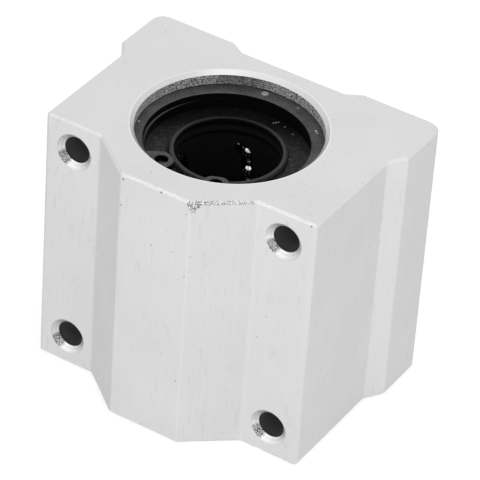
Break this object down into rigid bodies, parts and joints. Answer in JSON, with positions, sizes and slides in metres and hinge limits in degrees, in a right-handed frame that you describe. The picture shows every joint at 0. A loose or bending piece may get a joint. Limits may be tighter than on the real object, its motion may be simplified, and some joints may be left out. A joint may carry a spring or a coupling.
{
  "type": "linear bearing block",
  "caption": "Aluminium block with a closed linear ball bearing held by internal circlips, for sliding along a round shaft; bolted from either side.",
  "frame": {"origin": "on the bore axis at the block's mid-length", "axes": "+Z along the bore, +X across the width, +Y towards the mounting face; the flanges and the hump look towards -Y"},
  "size_m": [0.05, 0.0385, 0.044],
  "materials": {
    "housing": "clear anodised, satin",
    "circlip": "phosphated and oiled",
    "sleeve": "hardened and ground",
    "cage": "moulded, satin",
    "balls": "polished",
    "spring_steel": "bright",
    "sheet_steel": "pressed",
    "seal_rubber": "moulded, matte"
  },
  "bodies": {
    "root": {"housing_block": "housing", "upper_circlip": "circlip", "lower_circlip": "circlip", "bearing_sleeve": "sleeve", "ball_cage": "cage", "ball_circuit_1": "balls", "ball_circuit_2": "balls", "ball_circuit_3": "balls", "ball_circuit_4": "balls", "ball_circuit_5": "balls", "upper_stop_ring": "spring_steel", "lower_stop_ring": "spring_steel", "upper_seal_core": "sheet_steel", "lower_seal_core": "sheet_steel", "upper_end_seal": "seal_rubber", "lower_end_seal": "seal_rubber"}
  },
  "joints": []
}
